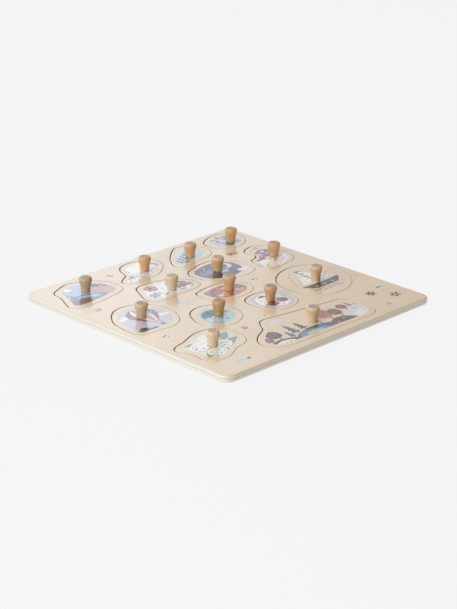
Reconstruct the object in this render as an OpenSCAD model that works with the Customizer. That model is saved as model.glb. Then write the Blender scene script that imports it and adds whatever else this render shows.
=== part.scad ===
// Square wooden peg puzzle: a laminated board with cut-outs, and flat
// pieces that lift out of them by turned pegs.
// Millimetres, +Z up, origin at the centre of the board's underside.

/* [Board] */
// Side of the square board (the whole layout scales with it)
board_w = 300; // [260:10:360]
// Plan radius of the board's corners
corner_r = 11; // [3:1:20]
// Thickness of the backing panel
base_t = 4; // [2:0.1:6]
// Thickness of the cut-out panel and of the pieces in it
frame_t = 3.5; // [3:0.1:9]

/* [Pieces] */
// Gap between a piece and the wall of its cut-out
gap = 0.7; // [0.5:0.1:2]
// How far the loose pieces rest towards the far right of their cut-outs
sit = 0.28; // [0:0.02:0.3]
// Curve steps between two points of an outline
steps = 6; // [3:1:10]

/* [Pegs] */
// Diameter of the peg over its head
peg_head_d = 14; // [11:0.5:16]
// Diameter of the peg at its foot
peg_foot_d = 10; // [8:0.5:11]
// Height of the peg above the piece
peg_h = 16; // [12:0.5:25]
// Rounding of the rim of the head
peg_rim_r = 2.2; // [0.8:0.1:2.5]
// Diameter of the spigot below the foot
spigot_d = 5; // [4:0.5:6]
// Glue gap around the spigot
glue_gap = 0.1; // [0.05:0.05:0.2]
// How far the spigot ends above the underside of the piece
spigot_short = 0.3; // [0.2:0.1:1]

/* [Hidden] */

// Layout scale, and the heights of the seam and of the top face
k = board_w / 300;
z_seam = base_t;
z_top = base_t + frame_t;
spigot_l = frame_t - spigot_short;

// Middle of the gap round each piece, anticlockwise, on a 300 mm board
pond_line = [[-140, -100], [-136, -114], [-128, -128], [-113, -131], [-99, -137],
  [-86, -141], [-78, -132], [-78, -114], [-81, -92], [-86, -71], [-95, -63],
  [-109, -63], [-123, -69], [-133, -82]];
balloon_line = [[-51, -101], [-48, -116], [-38, -128], [-24, -137], [-9, -140],
  [4, -141], [16, -139], [20, -129], [20, -115], [22, -100], [17, -86], [4, -75],
  [-14, -70], [-32, -73], [-45, -84]];
egg_line = [[50, -88], [52, -103], [59, -120], [63, -135], [71, -141], [88, -135],
  [104, -136], [114, -128], [114, -110], [105, -92], [101, -76], [90, -66],
  [74, -64], [60, -67], [53, -76]];
cloud_line = [[-142, -9], [-139, -25], [-130, -34], [-116, -39], [-109, -49],
  [-102, -56], [-93, -51], [-91, -36], [-93, -16], [-101, 0], [-112, 12],
  [-124, 17], [-136, 11]];
daisy_line = [[-83, -46], [-79, -57], [-66, -64], [-52, -70], [-40, -69],
  [-35, -56], [-37, -38], [-37, -16], [-41, 0], [-54, 4], [-67, -2], [-77, -14],
  [-82, -30]];
umbrella_line = [[3, -47], [8, -62], [20, -71], [36, -76], [50, -71], [59, -56],
  [58, -41], [49, -28], [35, -21], [20, -23], [8, -32]];
forest_line = [[73, -24], [80, -34], [91, -42], [100, -58], [112, -69], [126, -68],
  [135, -57], [138, -38], [138, 0], [139, 40], [140, 68], [129, 83], [106, 83],
  [90, 77], [86, 60], [82, 36], [78, 8]];
fern_line = [[-142, 60], [-137, 49], [-126, 36], [-114, 25], [-100, 18], [-92, 24],
  [-94, 44], [-97, 66], [-104, 78], [-119, 82], [-134, 76]];
moon_line = [[-86, 52], [-84, 36], [-78, 18], [-68, 10], [-54, 11], [-42, 16],
  [-34, 30], [-29, 48], [-29, 65], [-36, 77], [-52, 80], [-68, 76], [-80, 68]];
acorn_line = [[-31, 4], [-29, -11], [-25, -22], [-12, -24], [2, -20], [10, -8],
  [12, 8], [10, 24], [2, 36], [-12, 38], [-24, 32], [-30, 18]];
cherry_line = [[17, 26], [19, 8], [27, -1], [42, -3], [57, 0], [67, 11], [68, 26],
  [63, 40], [53, 48], [38, 50], [25, 43]];
berry_line = [[-142, 120], [-139, 104], [-130, 91], [-118, 88], [-106, 94],
  [-98, 106], [-98, 120], [-105, 132], [-117, 140], [-130, 139], [-139, 131]];
mushroom_line = [[-87, 121], [-82, 107], [-75, 103], [-65, 106], [-58, 100],
  [-54, 90], [-42, 87], [-29, 86], [-21, 95], [-23, 112], [-28, 130], [-40, 138],
  [-56, 141], [-72, 139], [-82, 133]];
boat_line = [[-11, 101], [-6, 82], [6, 66], [22, 57], [40, 56], [58, 62], [70, 76],
  [74, 94], [69, 115], [55, 131], [38, 140], [18, 140], [2, 131], [-8, 117]];
lines = [pond_line, balloon_line, egg_line, cloud_line, daisy_line, umbrella_line,
  forest_line, fern_line, moon_line, acorn_line, cherry_line, berry_line,
  mushroom_line, boat_line];

// Peg centres on a 300 mm board
pond_at = [-111, -99];
balloon_at = [-17, -106];
egg_at = [85, -105];
cloud_at = [-114, -13];
daisy_at = [-52, -31];
umbrella_at = [32, -45];
forest_at = [110, 11];
fern_at = [-110, 51];
moon_at = [-59, 43];
acorn_at = [-10, 12];
cherry_at = [40, 22];
berry_at = [-114, 118];
mushroom_at = [-48, 119];
boat_at = [33, 99];

// Wood tones
birch = [0.90, 0.84, 0.73];
birch_back = [0.82, 0.74, 0.61];
beech = [0.76, 0.58, 0.35];

// Closed smooth curve through points p, with n steps between two points
function blend4(a, b, c, d, t) = 0.5 * (2 * b + (c - a) * t
  + (2 * a - 5 * b + 4 * c - d) * t * t + (3 * b - a - 3 * c + d) * t * t * t);
function smooth_loop(p, n) = let (m = len(p)) [for (i = [0:m - 1], j = [0:n - 1])
  blend4(p[(i + m - 1) % m], p[i], p[(i + 1) % m], p[(i + 2) % m], j / n)];
// The same curve moved inwards by g, or outwards if g is negative
function inset_loop(q, g) = let (m = len(q)) [for (i = [0:m - 1])
  let (t = q[(i + 1) % m] - q[(i + m - 1) % m]) q[i] + g * [-t[1], t[0]] / norm(t)];

// Turned profile of a peg from its spigot's end to its crown, radius and height
rf = peg_foot_d / 2;
rh = peg_head_d / 2;
rs = spigot_d / 2;
peg_profile = concat(
  [[0, -spigot_l], [rs - 0.4, -spigot_l], [rs, 0.4 - spigot_l], [rs, 0], [rf - 0.4, 0]],
  [for (i = [0:10]) let (s = i / 10, t = pow(s, 1.4))
    [rf + (rh - rf) * t * t * (3 - 2 * t), 0.4 + (peg_h - peg_rim_r - 0.4) * s]],
  [for (a = [15:15:90]) [rh - peg_rim_r + peg_rim_r * cos(a), peg_h - peg_rim_r + peg_rim_r * sin(a)]],
  [[0, peg_h]]);

// Plan of the board
module board_plan() {
  s = board_w / 2;
  c = s - corner_r;
  square([board_w, 2 * c], center = true);
  square([2 * c, board_w], center = true);
  for (x = [-c, c], y = [-c, c]) translate([x, y]) circle(r = corner_r, $fn = 64);
}

// A flat piece inside outline p, drilled for the peg at c
module flat_piece(p, c) {
  difference() {
    translate([sit, sit, z_seam]) linear_extrude(height = frame_t)
      polygon(inset_loop(smooth_loop(k * p, steps), gap / 2));
    translate([k * c[0], k * c[1], z_seam - 1])
      cylinder(r = rs + glue_gap, h = frame_t + 2, $fn = 48);
  }
}

// A turned peg standing on the piece at c, its spigot in the piece's hole
module turned_peg(c) {
  translate([k * c[0], k * c[1], z_top]) rotate_extrude($fn = 64) polygon(peg_profile);
}

module base_panel() { color(birch_back) linear_extrude(height = base_t) board_plan(); }
module frame_panel() {
  color(birch) translate([0, 0, z_seam]) linear_extrude(height = frame_t) difference() {
    board_plan();
    for (p = lines) polygon(inset_loop(smooth_loop(k * p, steps), -gap / 2));
  }
}

module pond_piece() { color([0.66, 0.72, 0.82]) flat_piece(pond_line, pond_at); }
module pond_peg() { color(beech) turned_peg(pond_at); }
module balloon_piece() { color([0.72, 0.68, 0.74]) flat_piece(balloon_line, balloon_at); }
module balloon_peg() { color(beech) turned_peg(balloon_at); }
module egg_piece() { color([0.86, 0.87, 0.84]) flat_piece(egg_line, egg_at); }
module egg_peg() { color(beech) turned_peg(egg_at); }
module cloud_piece() { color([0.82, 0.82, 0.86]) flat_piece(cloud_line, cloud_at); }
module cloud_peg() { color(beech) turned_peg(cloud_at); }
module daisy_piece() { color([0.88, 0.86, 0.87]) flat_piece(daisy_line, daisy_at); }
module daisy_peg() { color(beech) turned_peg(daisy_at); }
module umbrella_piece() { color([0.62, 0.75, 0.80]) flat_piece(umbrella_line, umbrella_at); }
module umbrella_peg() { color(beech) turned_peg(umbrella_at); }
module forest_piece() { color([0.62, 0.48, 0.44]) flat_piece(forest_line, forest_at); }
module forest_peg() { color(beech) turned_peg(forest_at); }
module fern_piece() { color([0.76, 0.80, 0.84]) flat_piece(fern_line, fern_at); }
module fern_peg() { color(beech) turned_peg(fern_at); }
module moon_piece() { color([0.48, 0.53, 0.64]) flat_piece(moon_line, moon_at); }
module moon_peg() { color(beech) turned_peg(moon_at); }
module acorn_piece() { color([0.70, 0.50, 0.42]) flat_piece(acorn_line, acorn_at); }
module acorn_peg() { color(beech) turned_peg(acorn_at); }
module cherry_piece() { color([0.74, 0.68, 0.74]) flat_piece(cherry_line, cherry_at); }
module cherry_peg() { color(beech) turned_peg(cherry_at); }
module berry_piece() { color([0.58, 0.70, 0.84]) flat_piece(berry_line, berry_at); }
module berry_peg() { color(beech) turned_peg(berry_at); }
module mushroom_piece() { color([0.80, 0.76, 0.78]) flat_piece(mushroom_line, mushroom_at); }
module mushroom_peg() { color(beech) turned_peg(mushroom_at); }
module boat_piece() { color([0.60, 0.60, 0.66]) flat_piece(boat_line, boat_at); }
module boat_peg() { color(beech) turned_peg(boat_at); }

base_panel();
frame_panel();
pond_piece();
pond_peg();
balloon_piece();
balloon_peg();
egg_piece();
egg_peg();
cloud_piece();
cloud_peg();
daisy_piece();
daisy_peg();
umbrella_piece();
umbrella_peg();
forest_piece();
forest_peg();
fern_piece();
fern_peg();
moon_piece();
moon_peg();
acorn_piece();
acorn_peg();
cherry_piece();
cherry_peg();
berry_piece();
berry_peg();
mushroom_piece();
mushroom_peg();
boat_piece();
boat_peg();
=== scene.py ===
import math
import random

import bpy
from mathutils import Matrix, Vector
from mathutils.geometry import delaunay_2d_cdt


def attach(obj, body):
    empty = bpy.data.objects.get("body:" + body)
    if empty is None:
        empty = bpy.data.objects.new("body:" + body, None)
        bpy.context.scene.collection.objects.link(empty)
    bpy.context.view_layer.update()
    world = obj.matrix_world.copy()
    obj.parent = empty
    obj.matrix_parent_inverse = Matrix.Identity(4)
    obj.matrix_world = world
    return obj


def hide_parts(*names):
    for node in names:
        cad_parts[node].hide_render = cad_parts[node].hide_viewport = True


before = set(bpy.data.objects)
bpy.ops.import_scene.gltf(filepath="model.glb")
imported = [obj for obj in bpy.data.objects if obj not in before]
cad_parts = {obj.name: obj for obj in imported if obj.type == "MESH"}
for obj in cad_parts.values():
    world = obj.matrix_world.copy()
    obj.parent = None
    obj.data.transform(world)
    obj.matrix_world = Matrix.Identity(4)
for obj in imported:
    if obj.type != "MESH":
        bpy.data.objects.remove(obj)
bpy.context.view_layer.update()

MM = 0.001

# Heights and sizes of the part, in millimetres
SIDE, CORNER = 150.0, 11.0
SEAM, TOP = 4.0, 7.5
GAP, SIT = 0.7, 0.28
HOLE_R = 2.6
PEG_H, PEG_RIM, PEG_FOOT, PEG_HEAD, SPIGOT, SPIGOT_L = 16.0, 2.2, 5.0, 7.0, 2.5, 3.2
STEPS = 9

# Middle of the gap round each piece, anticlockwise, and the centre of its peg
LINES = {
    "pond": [(-140, -100), (-136, -114), (-128, -128), (-113, -131), (-99, -137), (-86, -141), (-78, -132),
             (-78, -114), (-81, -92), (-86, -71), (-95, -63), (-109, -63), (-123, -69), (-133, -82)],
    "balloon": [(-51, -101), (-48, -116), (-38, -128), (-24, -137), (-9, -140), (4, -141), (16, -139), (20, -129),
                (20, -115), (22, -100), (17, -86), (4, -75), (-14, -70), (-32, -73), (-45, -84)],
    "egg": [(50, -88), (52, -103), (59, -120), (63, -135), (71, -141), (88, -135), (104, -136), (114, -128),
            (114, -110), (105, -92), (101, -76), (90, -66), (74, -64), (60, -67), (53, -76)],
    "cloud": [(-142, -9), (-139, -25), (-130, -34), (-116, -39), (-109, -49), (-102, -56), (-93, -51), (-91, -36),
              (-93, -16), (-101, 0), (-112, 12), (-124, 17), (-136, 11)],
    "daisy": [(-83, -46), (-79, -57), (-66, -64), (-52, -70), (-40, -69), (-35, -56), (-37, -38), (-37, -16),
              (-41, 0), (-54, 4), (-67, -2), (-77, -14), (-82, -30)],
    "umbrella": [(3, -47), (8, -62), (20, -71), (36, -76), (50, -71), (59, -56), (58, -41), (49, -28), (35, -21),
                 (20, -23), (8, -32)],
    "forest": [(73, -24), (80, -34), (91, -42), (100, -58), (112, -69), (126, -68), (135, -57), (138, -38), (138, 0),
               (139, 40), (140, 68), (129, 83), (106, 83), (90, 77), (86, 60), (82, 36), (78, 8)],
    "fern": [(-142, 60), (-137, 49), (-126, 36), (-114, 25), (-100, 18), (-92, 24), (-94, 44), (-97, 66),
             (-104, 78), (-119, 82), (-134, 76)],
    "moon": [(-86, 52), (-84, 36), (-78, 18), (-68, 10), (-54, 11), (-42, 16), (-34, 30), (-29, 48), (-29, 65),
             (-36, 77), (-52, 80), (-68, 76), (-80, 68)],
    "acorn": [(-31, 4), (-29, -11), (-25, -22), (-12, -24), (2, -20), (10, -8), (12, 8), (10, 24), (2, 36),
              (-12, 38), (-24, 32), (-30, 18)],
    "cherry": [(17, 26), (19, 8), (27, -1), (42, -3), (57, 0), (67, 11), (68, 26), (63, 40), (53, 48), (38, 50),
               (25, 43)],
    "berry": [(-142, 120), (-139, 104), (-130, 91), (-118, 88), (-106, 94), (-98, 106), (-98, 120), (-105, 132),
              (-117, 140), (-130, 139), (-139, 131)],
    "mushroom": [(-87, 121), (-82, 107), (-75, 103), (-65, 106), (-58, 100), (-54, 90), (-42, 87), (-29, 86),
                 (-21, 95), (-23, 112), (-28, 130), (-40, 138), (-56, 141), (-72, 139), (-82, 133)],
    "boat": [(-11, 101), (-6, 82), (6, 66), (22, 57), (40, 56), (58, 62), (70, 76), (74, 94), (69, 115), (55, 131),
             (38, 140), (18, 140), (2, 131), (-8, 117)],
}
PEGS = {
    "pond": (-111, -99), "balloon": (-17, -106), "egg": (85, -105), "cloud": (-114, -13), "daisy": (-52, -31),
    "umbrella": (32, -45), "forest": (110, 11), "fern": (-110, 51), "moon": (-59, 43), "acorn": (-10, 12),
    "cherry": (40, 22), "berry": (-114, 118), "mushroom": (-48, 119), "boat": (33, 99),
}
# How pale (0) or golden (1) the wood of each peg is, and how light
PEG_TONE = {
    "pond": (0.3, 0.8), "balloon": (0.35, 0.98), "egg": (0.05, 1.12), "cloud": (0.85, 1.12), "daisy": (0.1, 1.15),
    "umbrella": (1.0, 0.95), "forest": (0.2, 1.08), "fern": (0.7, 1.12), "moon": (0.65, 1.18), "acorn": (0.65, 1.06),
    "cherry": (0.7, 0.97), "berry": (0.85, 1.12), "mushroom": (0.8, 1.06), "boat": (0.4, 1.12),
}

# ---------------------------------------------------------------- curves in plan


def blend4(a, b, c, d, t):
    return tuple(
        0.5 * (2 * b[i] + (c[i] - a[i]) * t + (2 * a[i] - 5 * b[i] + 4 * c[i] - d[i]) * t * t
               + (3 * b[i] - a[i] - 3 * c[i] + d[i]) * t * t * t) for i in (0, 1))


def closed(points, n):
    """Closed smooth curve through the points, n steps between two of them."""
    m = len(points)
    return [blend4(points[i - 1], points[i], points[(i + 1) % m], points[(i + 2) % m], j / n)
            for i in range(m) for j in range(n)]


def opened(points, n):
    """Open smooth curve through the points."""
    first = tuple(2 * points[0][i] - points[1][i] for i in (0, 1))
    last = tuple(2 * points[-1][i] - points[-2][i] for i in (0, 1))
    p = [first] + list(points) + [last]
    out = [blend4(p[i], p[i + 1], p[i + 2], p[i + 3], j / n) for i in range(len(points) - 1) for j in range(n)]
    return out + [tuple(points[-1])]


def right_normals(loop):
    """Unit normals on the right-hand side of the loop's direction."""
    out = []
    for i in range(len(loop)):
        (ax, ay), (bx, by) = loop[i - 1], loop[(i + 1) % len(loop)]
        tx, ty = bx - ax, by - ay
        length = math.hypot(tx, ty) or 1.0
        out.append((ty / length, -tx / length))
    return out


def moved(loop, distance):
    return [(p[0] + n[0] * distance, p[1] + n[1] * distance) for p, n in zip(loop, right_normals(loop))]


def relaxed(loop, turns):
    """The loop with its kinks evened out."""
    for _ in range(turns):
        loop = [tuple((loop[i - 1][a] + 2 * loop[i][a] + loop[(i + 1) % len(loop)][a]) / 4 for a in (0, 1))
                for i in range(len(loop))]
    return loop


def board_loop():
    """Plan of the board, anticlockwise, with short steps along its straight sides."""
    c = SIDE - CORNER
    out = []
    for k, (cx, cy) in enumerate(((c, c), (-c, c), (-c, -c), (c, -c))):
        start = k * 90
        out += [(cx + CORNER * math.cos(math.radians(start + a * 6)), cy + CORNER * math.sin(math.radians(start + a * 6)))
                for a in range(16)]
        nx, ny = ((-c, c), (-c, -c), (c, -c), (c, c))[k]
        end = math.radians(start + 90)
        x0, y0 = out[-1]
        x1, y1 = nx + CORNER * math.cos(end), ny + CORNER * math.sin(end)
        out += [(x0 + (x1 - x0) * s / 14, y0 + (y1 - y0) * s / 14) for s in range(1, 14)]
    return out


def circle(cx, cy, r, n):
    return [(cx + r * math.cos(2 * math.pi * i / n), cy + r * math.sin(2 * math.pi * i / n)) for i in range(n)]


# ---------------------------------------------------------------- solids


class Solid:
    """A closed mesh, gathered in millimetres, with its own corner normals and paint."""

    def __init__(self):
        self.at, self.faces, self.normals, self.ink, self.cut = [], [], [], [], []

    def point(self, x, y, z):
        self.at.append((x, y, z))
        return len(self.at) - 1

    def face(self, ids, normals, ink=(0, 0, 0, 0), cut=None):
        self.faces.append(tuple(ids))
        self.normals.append(normals)
        self.ink.append(ink)
        self.cut.append(cut or [0.0] * len(ids))

    def flat(self, ids, up, ink=(0, 0, 0, 0)):
        self.face(ids, [(0, 0, 1 if up else -1)] * len(ids), ink)

    def walls(self, loop, profile, top_ids=None):
        """Rings down the profile, whose steps are (distance out of the wood, height, angle of the normal in degrees, cut).
        The wood lies on the left of the loop. Returns the first and last rings."""
        n = right_normals(loop)
        rings = []
        for k, (out, z, _, _) in enumerate(profile):
            if k == 0 and top_ids:
                rings.append(top_ids)
            else:
                rings.append([self.point(p[0] + m[0] * out, p[1] + m[1] * out, z) for p, m in zip(loop, n)])
        for k in range(len(profile) - 1):
            (_, _, a0, w0), (_, _, a1, w1) = profile[k], profile[k + 1]
            c0, s0 = math.cos(math.radians(a0)), math.sin(math.radians(a0))
            c1, s1 = math.cos(math.radians(a1)), math.sin(math.radians(a1))
            up, low = rings[k], rings[k + 1]
            for i in range(len(loop)):
                j = (i + 1) % len(loop)
                self.face((low[i], low[j], up[j], up[i]),
                          [(n[i][0] * c1, n[i][1] * c1, s1), (n[j][0] * c1, n[j][1] * c1, s1),
                           (n[j][0] * c0, n[j][1] * c0, s0), (n[i][0] * c0, n[i][1] * c0, s0)],
                          cut=[w1, w1, w0, w0])
        return rings[0], rings[-1]

    def build(self, name, material, grain, extra=None):
        """The Blender object. grain turns a point in millimetres into the wood's own coordinates."""
        mesh = bpy.data.meshes.new(name)
        mesh.from_pydata([(x * MM, y * MM, z * MM) for x, y, z in self.at], [], self.faces)
        if mesh.validate(verbose=True):
            raise ValueError(name + " is not a sound mesh")
        mesh.update()
        for polygon in mesh.polygons:
            polygon.use_smooth = True
        colours, cuts, normals, grains = [], [], [], []
        for face, normal, paint, share in zip(self.faces, self.normals, self.ink, self.cut):
            for k in range(len(face)):
                colours.extend(paint)
                cuts.append(share[k])
                normals.append(normal[k])
        for p in self.at:
            grains.extend(grain(p))
        mesh.attributes.new("ink", "FLOAT_COLOR", "CORNER").data.foreach_set("color", colours)
        mesh.attributes.new("cut", "FLOAT", "CORNER").data.foreach_set("value", cuts)
        mesh.attributes.new("gco", "FLOAT_VECTOR", "POINT").data.foreach_set("vector", grains)
        for key, value in (extra or {}).items():
            mesh.attributes.new(key, "FLOAT", "POINT").data.foreach_set("value", [value] * len(self.at))
        mesh.normals_split_custom_set(normals)
        mesh.materials.append(material)
        obj = bpy.data.objects.new(name, mesh)
        bpy.context.scene.collection.objects.link(obj)
        return obj


def triangles(loops):
    """Triangles over all the loops: points, faces, the loops each face lies in, and the input points behind each point."""
    points, faces = [], []
    for loop in loops:
        faces.append(list(range(len(points), len(points) + len(loop))))
        points += [Vector(p) for p in loop]
    at, _, tri, from_points, _, inside = delaunay_2d_cdt(points, [], faces, 0, 1e-5)
    out = []
    for face, ids in zip(tri, inside):
        (ax, ay), (bx, by), (cx, cy) = at[face[0]], at[face[1]], at[face[2]]
        turn = (bx - ax) * (cy - ay) - (by - ay) * (cx - ax)
        if abs(turn) > 1e-9:
            out.append((tuple(face) if turn > 0 else tuple(reversed(face)), set(ids)))
    return at, out, from_points


def borders(faces):
    """Closed border loops of some triangles, with the triangles on their left."""
    sides = set()
    for f in faces:
        for k in range(3):
            sides.add((f[k], f[(k + 1) % 3]))
    after = {a: b for a, b in sides if (b, a) not in sides}
    loops = []
    while after:
        start = next(iter(after))
        loop, at = [start], after.pop(start)
        while at != start:
            loop.append(at)
            at = after.pop(at)
        loops.append(loop)
    return loops


def arc(r, z, first, last, count, low=False, cut=1.0, face=0.0, turn=45):
    """Steps of a rounded edge whose face is at height z. The look goes from the wall's, cut, to the face's: 0 is face
    veneer, 1 a clean edge, 2 a wall darkened partly as cutter char and partly as painted shade for the narrow gap it
    faces, 3 a dark glue line."""
    out = []
    for k in range(count + 1):
        a = first + (last - first) * k / count
        c, s = math.cos(math.radians(a)), math.sin(math.radians(a))
        out.append((-r + r * c, z + r + r * s if low else z - r + r * s, a, face + (cut - face) * min(1.0, (90 - abs(a)) / turn)))
    return out


def surface_area(loop):
    return 0.5 * sum(loop[i - 1][0] * loop[i][1] - loop[i][0] * loop[i - 1][1] for i in range(len(loop)))


# ---------------------------------------------------------------- printed designs


def ink(r, g, b, cover=1.0):
    """A print colour as linear light, deepened and warmed to stand up to the lacquer's sheen."""
    plain = [v / 255 / 12.92 if v / 255 <= 0.04045 else ((v / 255 + 0.055) / 1.055) ** 2.4 for v in (r, g, b)]
    deep = [v ** 1.7 / (v ** 1.7 + 1.35 * (1 - v) ** 1.7) for v in plain]
    return tuple(0.96 * v * warm for v, warm in zip(deep, (1.0, 0.94, 0.85))) + (cover,)


WHITE, SNOW, BLACK = ink(246, 245, 246), ink(232, 231, 238), ink(46, 42, 46)
NAVY, SLATE, BLUE, SKY, ICE = ink(56, 66, 96), ink(104, 120, 146), ink(142, 168, 198), ink(190, 202, 220), ink(184, 212, 218)
TEAL, SEA, SAGE, LEAF = ink(26, 88, 94), ink(84, 136, 146), ink(221, 226, 216), ink(158, 178, 164)
PLUM, MAUVE, LILAC, PURPLE = ink(116, 62, 76), ink(166, 134, 146), ink(204, 200, 214), ink(90, 82, 110)
PINK, DUSTY, CRIMSON = ink(208, 164, 166), ink(206, 180, 172), ink(170, 54, 70)
TERRA, RUST, BROWN, TAN, UMBER = ink(196, 150, 130), ink(160, 104, 86), ink(140, 100, 78), ink(210, 180, 146), ink(92, 66, 58)
GREY, PALE, FROST = ink(160, 162, 170), ink(218, 220, 228), ink(208, 216, 226)


def oval(u, v, ru, rv, turn=0, n=30):
    c, s = math.cos(math.radians(turn)), math.sin(math.radians(turn))
    return [(u + ru * math.cos(a) * c - rv * math.sin(a) * s, v + ru * math.cos(a) * s + rv * math.sin(a) * c)
            for a in (2 * math.pi * i / n for i in range(n))]


def blob(points, n=6):
    loop = closed(points, n)
    return loop if surface_area(loop) > 0 else list(reversed(loop))


def poly(points):
    return list(points) if surface_area(points) > 0 else list(reversed(points))


def leaf(u0, v0, u1, v1, width, n=9, bend=0.0):
    """A pointed leaf from its foot to its tip."""
    du, dv = u1 - u0, v1 - v0
    length = math.hypot(du, dv)
    nu, nv = -dv / length, du / length
    side_a, side_b = [], []
    for k in range(n + 1):
        t = k / n
        h = width / 2 * math.sin(math.pi * t ** 0.85) ** 0.9 if 0 < k < n else 0.0
        off = bend * length * math.sin(math.pi * t)
        cu, cv = u0 + du * t + nu * off, v0 + dv * t + nv * off
        side_a.append((cu + nu * h, cv + nv * h))
        side_b.append((cu - nu * h, cv - nv * h))
    return poly(side_b + list(reversed(side_a[1:-1])))


def stroke(points, wide, narrow=None, n=6):
    """A drawn line with round ends, from one width to another."""
    narrow = wide if narrow is None else narrow
    line = opened(points, n)
    left, right = [], []
    for i, p in enumerate(line):
        a, b = line[max(0, i - 1)], line[min(len(line) - 1, i + 1)]
        du, dv = b[0] - a[0], b[1] - a[1]
        length = math.hypot(du, dv) or 1.0
        h = (wide + (narrow - wide) * i / (len(line) - 1)) / 2
        left.append((p[0] - dv / length * h, p[1] + du / length * h))
        right.append((p[0] + dv / length * h, p[1] - du / length * h))
    return poly(right + list(reversed(left)))


def star(u, v, outer, inner, points=5, turn=90):
    return [(u + r * math.cos(a), v + r * math.sin(a)) for k in range(2 * points)
            for r, a in [(outer if k % 2 == 0 else inner, math.radians(turn) + math.pi * k / points)]]


def drop(u, v, r, height, turn=0):
    """A rain drop with its point upwards."""
    pts = [(r * math.cos(a), r * math.sin(a)) for a in (math.radians(-205 + 230 * k / 16) for k in range(17))]
    pts.append((0.0, height))
    c, s = math.cos(math.radians(turn)), math.sin(math.radians(turn))
    return poly([(u + x * c - y * s, v + x * s + y * c) for x, y in pts])


def inside(p, loop):
    hit = False
    for i in range(len(loop)):
        (ax, ay), (bx, by) = loop[i - 1], loop[i]
        if (ay > p[1]) != (by > p[1]) and p[0] < (bx - ax) * (p[1] - ay) / (by - ay) + ax:
            hit = not hit
    return hit


def specks(seed, region, count, small, large, apart, colour=BLACK):
    """Uneven little spots spread over a region."""
    dice = random.Random(seed)
    us, vs = [p[0] for p in region], [p[1] for p in region]
    placed = []
    for _ in range(count * 60):
        if len(placed) == count:
            break
        p = (dice.uniform(min(us), max(us)), dice.uniform(min(vs), max(vs)))
        r = small + (large - small) * dice.random() ** 2
        rim = all(inside((p[0] + dx * (r + 0.4), p[1] + dy * (r + 0.4)), region) for dx, dy in ((1, 0), (-1, 0), (0, 1), (0, -1)))
        if rim and all(math.hypot(p[0] - q[0], p[1] - q[1]) > r + q[2] + apart for q in placed):
            placed.append((p[0], p[1], r))
    out = []
    for u, v, r in placed:
        turn = dice.uniform(0, 360)
        ring = [(u + r * (1 + 0.22 * dice.uniform(-1, 1)) * math.cos(a), v + 0.8 * r * (1 + 0.22 * dice.uniform(-1, 1)) * math.sin(a))
                for a in (math.radians(turn) + 2 * math.pi * k / 9 for k in range(9))]
        out.append((colour, poly(closed(ring, 2))))
    return out


def flower(u, v, r, petals, colour, second, heart, turn=0):
    out = []
    for k in range(petals):
        a = math.radians(turn) + 2 * math.pi * k / petals
        out.append((colour if k % 2 == 0 else second,
                    oval(u + 0.58 * r * math.cos(a), v + 0.58 * r * math.sin(a), 0.44 * r, 0.2 * r + 0.3, math.degrees(a), 18)))
    out.append((heart, oval(u, v, 0.26 * r, 0.26 * r, 0, 18)))
    return out


def sprig(u, v, length, turn, colour, pairs=3, stem=0.7, size=0.34, second=None):
    """A straight stem with pairs of small leaves and one at its tip."""
    c, s = math.cos(math.radians(turn)), math.sin(math.radians(turn))

    def at(x, y):
        return u + x * c - y * s, v + x * s + y * c

    out = [(colour, stroke([at(0, 0), at(length * 0.45, length * 0.03), at(length * 0.86, 0)], stem, stem * 0.6, 4))]
    for k in range(pairs):
        x = length * (0.2 + 0.62 * k / max(1, pairs))
        reach = length * size * (1 - 0.35 * k / pairs)
        for side in (1, -1):
            a, b = at(x, 0), at(x + reach * 0.8, side * reach * 0.8)
            out.append((second if second and side < 0 else colour, leaf(a[0], a[1], b[0], b[1], reach * 0.42, 7)))
    a, b = at(length * 0.78, 0), at(length, 0)
    out.append((colour, leaf(a[0], a[1], b[0], b[1], length * 0.14, 7)))
    return out


def conifer(u, v, height, width, colour, trunk=BROWN):
    out = [(trunk, poly([(u - 0.09 * width, v), (u + 0.09 * width, v), (u + 0.07 * width, v + 0.22 * height), (u - 0.07 * width, v + 0.22 * height)]))]
    for k in range(3):
        w = width / 2 * (1 - 0.24 * k)
        b = v + height * (0.14 + 0.25 * k)
        t = b + height * 0.38
        out.append((colour, poly([(u - w, b), (u - w * 0.5, b - 0.012 * height), (u, b + 0.008 * height), (u + w * 0.5, b - 0.012 * height), (u + w, b),
                                  (u + 0.3 * w, b + 0.6 * (t - b)), (u, t), (u - 0.3 * w, b + 0.6 * (t - b))])))
    return out


def round_tree(u, v, height, ru, rv, colour, shade, trunk=BROWN):
    return [(trunk, stroke([(u, v), (u + 0.3, v + height * 0.5), (u, v + height)], 1.9, 1.1, 4)),
            (trunk, stroke([(u, v + height * 0.6), (u + ru * 0.3, v + height * 0.8), (u + ru * 0.42, v + height)], 1.0, 0.6, 4)),
            (colour, blob([(u + ru, v + height), (u + 0.75 * ru, v + height + 0.72 * rv), (u, v + height + rv), (u - 0.78 * ru, v + height + 0.7 * rv),
                           (u - ru, v + height), (u - 0.72 * ru, v + height - 0.74 * rv), (u, v + height - 0.86 * rv), (u + 0.74 * ru, v + height - 0.7 * rv)])),
            (shade, leaf(u - 0.1 * ru, v + height - 0.4 * rv, u - 0.55 * ru, v + height + 0.25 * rv, 0.22 * ru, 7)),
            (shade, leaf(u + 0.25 * ru, v + height - 0.2 * rv, u + 0.5 * ru, v + height + 0.5 * rv, 0.22 * ru, 7)),
            (shade, leaf(u - 0.15 * ru, v + height + 0.2 * rv, u - 0.05 * ru, v + height + 0.75 * rv, 0.2 * ru, 7))]


def puffs(colour, *ovals):
    return [(colour, oval(u, v, ru, rv, 0, 26)) for u, v, ru, rv in ovals]


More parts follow.
